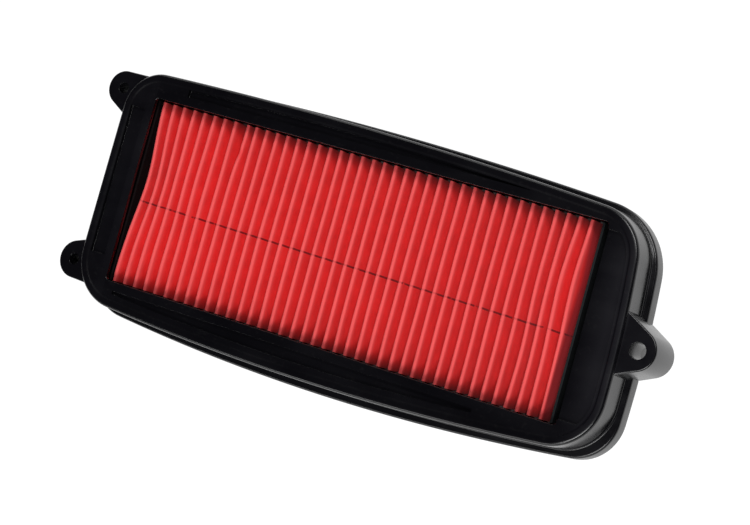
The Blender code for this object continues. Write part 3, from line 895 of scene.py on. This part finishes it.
class Shader:
    """A material whose nodes are added one helper call at a time, in object coordinates."""

    def __init__(self, name, colour, roughness, metallic=0.0):
        self.material = bpy.data.materials.new(name)
        self.material.use_nodes = True
        self.tree = self.material.node_tree
        self.surface = self.tree.nodes["Principled BSDF"]
        self.surface.inputs["Base Color"].default_value = (*colour, 1.0)
        self.surface.inputs["Roughness"].default_value = roughness
        self.surface.inputs["Metallic"].default_value = metallic
        self.place = self.tree.nodes.new("ShaderNodeTexCoord").outputs["Object"]

    def link(self, output, socket):
        self.tree.links.new(output, socket)

    def stretched(self, scale):
        mapping = self.tree.nodes.new("ShaderNodeMapping")
        mapping.inputs["Scale"].default_value = scale
        self.link(self.place, mapping.inputs["Vector"])
        return mapping.outputs["Vector"]

    def noise(self, size, detail=3.0, stretch=(1.0, 1.0, 1.0)):
        """Noise with features of about the given size in metres."""
        node = self.tree.nodes.new("ShaderNodeTexNoise")
        node.inputs["Scale"].default_value = 1.0 / size
        node.inputs["Detail"].default_value = detail
        self.link(self.stretched(stretch), node.inputs["Vector"])
        return node.outputs["Fac"]

    def cells(self, size):
        """Distance from the middles of cells of about the given size in metres."""
        node = self.tree.nodes.new("ShaderNodeTexVoronoi")
        node.inputs["Scale"].default_value = 1.0 / size
        self.link(self.place, node.inputs["Vector"])
        return node.outputs["Distance"]

    def span(self, value, from_low, from_high, to_low=0.0, to_high=1.0):
        """Maps a range of values onto another, and holds the ends."""
        node = self.tree.nodes.new("ShaderNodeMapRange")
        node.inputs["From Min"].default_value = from_low
        node.inputs["From Max"].default_value = from_high
        node.inputs["To Min"].default_value = to_low
        node.inputs["To Max"].default_value = to_high
        self.link(value, node.inputs["Value"])
        return node.outputs["Result"]

    def math(self, operation, first, second):
        node = self.tree.nodes.new("ShaderNodeMath")
        node.operation = operation
        for socket, value in zip(node.inputs, (first, second)):
            if isinstance(value, (int, float)):
                socket.default_value = value
            else:
                self.link(value, socket)
        return node.outputs["Value"]

    def times(self, first, second):
        return self.math("MULTIPLY", first, second)

    def magnitude(self, value):
        return self.math("ABSOLUTE", value, 0.0)

    def mix(self, factor, first, second):
        """Blends two colours, each a triple or an output."""
        node = self.tree.nodes.new("ShaderNodeMix")
        node.data_type = "RGBA"
        self.link(factor, node.inputs["Factor"])
        for name, value in (("A", first), ("B", second)):
            socket = next(s for s in node.inputs if s.name == name and s.type == "RGBA")
            if isinstance(value, tuple):
                socket.default_value = (*value, 1.0)
            else:
                self.link(value, socket)
        return next(s for s in node.outputs if s.type == "RGBA")

    def axis(self, source, name):
        node = self.tree.nodes.new("ShaderNodeSeparateXYZ")
        self.link(source, node.inputs["Vector"])
        return node.outputs[name]

    def along_pack(self):
        """Distance along the pack, square to its leaning ends."""
        slant = self.times(self.axis(self.place, "Y"), math.tan(PACK_LEAN))
        return self.math("ADD", self.axis(self.place, "X"), slant)

    def facing_up(self):
        """1 where the surface faces up, 0 where it is upright."""
        geometry = self.tree.nodes.new("ShaderNodeNewGeometry")
        return self.axis(geometry.outputs["Normal"], "Z")

    def colour(self, output):
        self.link(output, self.surface.inputs["Base Color"])

    def roughness(self, output):
        self.link(output, self.surface.inputs["Roughness"])

    def gloss(self, pattern, low, high):
        """Roughness that follows a noise from low to high."""
        self.roughness(self.span(pattern, *NOISE_RANGE, low, high))

    def specular(self, level):
        self.surface.inputs["Specular IOR Level"].default_value = level

    def bump(self, *layers):
        """Bumps one on top of another, each with its depth in metres."""
        normal = None
        for layer in layers:
            node = self.tree.nodes.new("ShaderNodeBump")
            node.inputs["Strength"].default_value = layer.strength
            node.inputs["Distance"].default_value = layer.depth
            self.link(layer.height, node.inputs["Height"])
            if normal:
                self.link(normal, node.inputs["Normal"])
            normal = node.outputs["Normal"]
        self.link(normal, self.surface.inputs["Normal"])


def matt_and_reflection_faces(shader, upward, matt_and_reflection_share):
    """How matt the top faces are, and how much a painted reflection lightens them: the left pocket
    and bar and the right end, but less towards the long sides and on the ear."""
    along = shader.along_pack()
    left = shader.span(along, *LEFT_BAR_X, *LEFT_MATT_AND_REFLECTION)
    outside_opening = shader.span(along, OPENING[0], OPENING[0] + EDGE, 1.0, 0.0)
    left = shader.times(left, outside_opening)
    right = shader.span(along, *RIGHT_END_X, 0.0, RIGHT_MATT_AND_REFLECTION)
    ear_start = RIM.right.middle.x
    ear = shader.span(along, ear_start - 2 * EDGE, ear_start + 2 * EDGE, 1.0, EAR_MATT_AND_REFLECTION)
    right = shader.times(right, ear)
    matt_and_reflection = shader.times(shader.math("MAXIMUM", left, right), shader.span(upward, 0.9, 0.98))
    from_middle = shader.magnitude(shader.axis(shader.place, "Y"))
    central = shader.span(from_middle, *MATT_AND_REFLECTION_FADE_Y, matt_and_reflection_share, MATT_AND_REFLECTION_AT_SIDES * matt_and_reflection_share)
    return shader.times(matt_and_reflection, central)


def moulded_plastic(name, base, roughness, matt_and_reflection_share):
    """Semi-gloss black moulding: faint flow marks, spark-eroded grain, a trace of dust, and matt
    top faces lightened by a painted reflection.
    """
    shader = Shader(name, base, roughness)
    flow = shader.noise(size=0.030, detail=3.0, stretch=(1.0, 2.5, 1.0))
    grain = shader.noise(size=0.00045, detail=2.0)
    dust = shader.noise(size=0.0016, detail=5.0)
    upward = shader.facing_up()
    lighter = tuple(channel * FLOW_CONTRAST for channel in base)
    body = shader.mix(shader.span(flow, 0.35, 0.70), base, lighter)
    # Painted reflection: the matt top faces get a lighter tone as well as a rougher gloss
    matt_and_reflection = matt_and_reflection_faces(shader, upward, matt_and_reflection_share)
    body = shader.mix(matt_and_reflection, body, MATT_AND_REFLECTION_TONE)
    lying = shader.times(shader.span(dust, 0.60, 0.78), shader.span(upward, 0.7, 1.0))
    shader.colour(shader.mix(shader.times(lying, DUST_SHARE), body, DUST_TONE))
    gloss = shader.span(flow, 0.30, 0.75, roughness - 0.05, roughness + 0.07)
    shader.roughness(shader.math("ADD", gloss, shader.times(matt_and_reflection, MATT_ROUGHNESS)))
    shader.specular(0.42)
    shader.bump(
        Bump(flow, strength=0.06, depth=0.0006),
        Bump(grain, strength=0.10, depth=0.00006),
    )
    return shader.material


def ink_rule(shader, height, across):
    """How much ink lies on the folds: a thin, broken line, fainter on the crests."""
    along = shader.axis(shader.place, "X")
    line_y = shader.math("ADD", shader.times(along, -INK_SLOPE), INK_Y)
    distance = shader.magnitude(shader.math("SUBTRACT", across, line_y))
    ink = shader.span(distance, INK_HALF_WIDTH, INK_HALF_WIDTH + INK_BLUR, 1.0, 0.0)
    breaks = shader.span(shader.noise(size=0.0045, detail=2.0), 0.34, 0.42)
    deep, shallow = (PACK_TOP - depth for depth in INK_DEPTHS)
    below_crest = shader.span(height, deep, shallow, 1.0, INK_ON_CRESTS)
    return shader.times(shader.times(shader.times(ink, breaks), below_crest), INK_SHARE)


def filter_paper():
    """Red oiled filter paper: fibres, mottled dye, a painted highlight along the crests, painted
    shade towards the glued sides and on the last flank, and a thin ink rule.
    """
    shader = Shader("filter_paper", colour=(0.55, 0.02, 0.025), roughness=0.62)
    height = shader.axis(shader.place, "Z")
    across = shader.axis(shader.place, "Y")
    mottle = shader.noise(size=0.006, detail=4.0)
    fibres = shader.noise(size=0.0007, detail=4.0, stretch=(1.0, 0.25, 1.0))
    dye = shader.mix(shader.span(mottle, 0.30, 0.70), *DYE_TONES)
    dye = shader.mix(shader.span(fibres, 0.35, 0.75, 0.0, FIBRE_SHARE), dye, FIBRE_TONE)
    # Painted highlight on the crests: the colour turns paler pink near the top of the pack
    deep, shallow = (PACK_TOP - depth for depth in CREST_HIGHLIGHT_DEPTHS)
    crest_highlight = shader.math("POWER", shader.span(height, deep, shallow), CREST_HIGHLIGHT_POWER)
    dye = shader.mix(shader.times(crest_highlight, CREST_HIGHLIGHT_SHARE), dye, CREST_HIGHLIGHT_TONE)
    # Painted shade on the last flank
    past = shader.math("SUBTRACT", shader.along_pack(), LAST_CREST_X)
    last_flank_shade = shader.span(past, 0.0, LAST_FLANK_SHADE_BLUR)
    dye = shader.mix(shader.times(last_flank_shade, LAST_FLANK_SHADE_SHARE), dye, LAST_FLANK_SHADE_TONE)
    # Painted shade towards the glued sides, weaker on the crests
    to_side = shader.span(shader.magnitude(across), END_SHADE_START, PACK_HALF_WIDTH)
    end_shade = shader.math("POWER", to_side, 2.0)
    end_shade = shader.times(end_shade, shader.span(crest_highlight, 0.0, 1.0, *END_SHADE_SHARES))
    dye = shader.mix(end_shade, dye, END_SHADE_TONE)
    shader.colour(shader.mix(ink_rule(shader, height, across), dye, INK_TONE))
    shader.gloss(fibres, 0.55, 0.75)
    shader.specular(0.2)
    shader.surface.inputs["Sheen Weight"].default_value = 0.08
    shader.surface.inputs["Sheen Roughness"].default_value = 0.5
    shader.bump(
        Bump(mottle, strength=0.25, depth=0.0004),
        Bump(fibres, strength=0.35, depth=0.00012),
    )
    return shader.material


def rubber():
    """Matt black rubber with a grey bloom."""
    shader = Shader("seal_rubber", colour=(0.016, 0.016, 0.017), roughness=0.72)
    skin = shader.noise(size=0.0009, detail=4.0)
    bloom = shader.noise(size=0.012, detail=3.0)
    shader.colour(shader.mix(shader.span(bloom, 0.4, 0.75), *RUBBER_TONES))
    shader.gloss(skin, 0.6, 0.85)
    shader.bump(Bump(skin, strength=0.4, depth=0.00015))
    return shader.material


def galvanised():
    """Galvanised steel, with spangle and faint lengthways streaks."""
    shader = Shader("screen_steel", (0.55, 0.56, 0.57), roughness=0.34, metallic=1.0)
    spangle = shader.cells(0.0035)
    streaks = shader.noise(size=0.0008, detail=3.0, stretch=(0.2, 1.0, 1.0))
    shader.colour(shader.mix(shader.span(spangle, 0.0, 0.8), *STEEL_TONES))
    shader.gloss(streaks, 0.26, 0.48)
    shader.bump(Bump(streaks, strength=0.15, depth=0.0001))
    return shader.material


def card(name, dark, light):
    """Board at an end of the pack, with faint pulp and fibres."""
    shader = Shader(name, dark, roughness=0.7)
    pulp = shader.noise(size=0.0012, detail=5.0)
    fibres = shader.noise(size=0.0005, detail=3.0, stretch=(1.0, 0.2, 1.0))
    shader.colour(shader.mix(shader.span(pulp, 0.35, 0.7), dark, light))
    shader.gloss(fibres, 0.55, 0.75)
    shader.specular(0.25)
    shader.bump(
        Bump(pulp, strength=0.3, depth=0.0002),
        Bump(fibres, strength=0.3, depth=0.0001),
    )
    return shader.material


def adhesive():
    """Lumpy dark adhesive with a soft gloss."""
    shader = Shader("adhesive", colour=(0.006, 0.004, 0.004), roughness=0.38)
    lumps = shader.noise(size=0.0022, detail=3.0)
    shader.colour(shader.mix(shader.span(lumps, 0.4, 0.7), *ADHESIVE_TONES))
    shader.gloss(lumps, 0.28, 0.55)
    shader.bump(Bump(lumps, strength=0.6, depth=0.0004))
    return shader.material


# --- carried-over nodes ---------------------------------------------------------------------


def finish_node(name, material, edge):
    """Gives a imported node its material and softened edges."""
    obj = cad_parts[name]
    obj.data.materials.clear()
    obj.data.materials.append(material)
    soften = obj.modifiers.new("soft_edges", "BEVEL")
    soften.width = edge
    soften.segments = SOFT_SEGMENTS
    soften.limit_method = "ANGLE"
    soften.angle_limit = SOFT_ANGLE


# --- studio ---------------------------------------------------------------------------------


def floor():
    """A softly glowing backdrop just under the part."""
    mesh = bmesh.new()
    bmesh.ops.create_grid(
        mesh, x_segments=FLOOR_CELLS, y_segments=FLOOR_CELLS, size=FLOOR_HALF_WIDTH
    )
    obj = add_mesh("floor", mesh)
    obj.location = (0.0, 0.0, CAD_BOX[0].z - FLOOR_DROP)
    shader = Shader("floor_paint", FLOOR_TONE, roughness=0.8)
    shader.surface.inputs["Emission Color"].default_value = (1.0, 1.0, 1.0, 1.0)
    shader.surface.inputs["Emission Strength"].default_value = FLOOR_GLOW
    obj.data.materials.append(shader.material)


def soft_box(name, place, size, power):
    """A rectangular lamp, aimed at the origin."""
    data = bpy.data.lights.new(name, "AREA")
    data.shape = "RECTANGLE"
    data.size, data.size_y = size
    data.energy = power
    lamp = bpy.data.objects.new(name, data)
    bpy.context.scene.collection.objects.link(lamp)
    lamp.location = place
    lamp.rotation_euler = (-Vector(place)).to_track_quat("-Z", "Y").to_euler()


def studio():
    """A dim world and the lamps."""
    world = bpy.data.worlds.new("studio")
    bpy.context.scene.world = world
    world.use_nodes = True
    background = world.node_tree.nodes["Background"]
    background.inputs["Color"].default_value = (*WORLD_TINT, 1.0)
    background.inputs["Strength"].default_value = WORLD_GLOW
    for lamp in LAMPS:
        soft_box(*lamp)
    bpy.context.scene.view_settings.view_transform = "Standard"


def camera():
    data = bpy.data.cameras.new("camera")
    data.lens = CAMERA_LENS
    data.sensor_width = CAMERA_SENSOR
    obj = bpy.data.objects.new("camera", data)
    bpy.context.scene.collection.objects.link(obj)
    level = math.cos(CAMERA_ELEVATION)
    back = Vector((
        math.sin(CAMERA_BEARING) * level,
        -math.cos(CAMERA_BEARING) * level,
        math.sin(CAMERA_ELEVATION),
    ))
    obj.location = CAMERA_TARGET + back * CAMERA_DISTANCE
    aim = (-back).to_track_quat("-Z", "Y").to_matrix().to_4x4()
    obj.rotation_euler = (aim @ Matrix.Rotation(CAMERA_ROLL, 4, "Z")).to_euler()
    bpy.context.scene.camera = obj


def build():
    camera()
    front_frame(moulded_plastic("front_plastic", FRONT_BLACK, roughness=0.24, matt_and_reflection_share=1.0))
    rear_frame(moulded_plastic("rear_plastic", REAR_BLACK, roughness=0.26, matt_and_reflection_share=0.0))
    seal(rubber())
    glue = adhesive()
    draw = random.Random(WANDER_SEED)
    wander = [draw.uniform(-WANDER, WANDER) for _ in range(PLEATS)]
    pleated_paper(filter_paper(), wander)
    adhesive_side("adhesive_upper", 1, "bond_bead_upper", glue, wander)
    adhesive_side("adhesive_lower", -1, "bond_bead_lower", glue, wander)
    finish_node("support_screen", galvanised(), SCREEN_EDGE)
    for name, dark, light in END_CARDS:
        finish_node(name, card(name, dark, light), CARD_EDGE)
    finish_node("bond_bead_end", glue, END_BEAD_EDGE)
    floor()
    studio()


build()
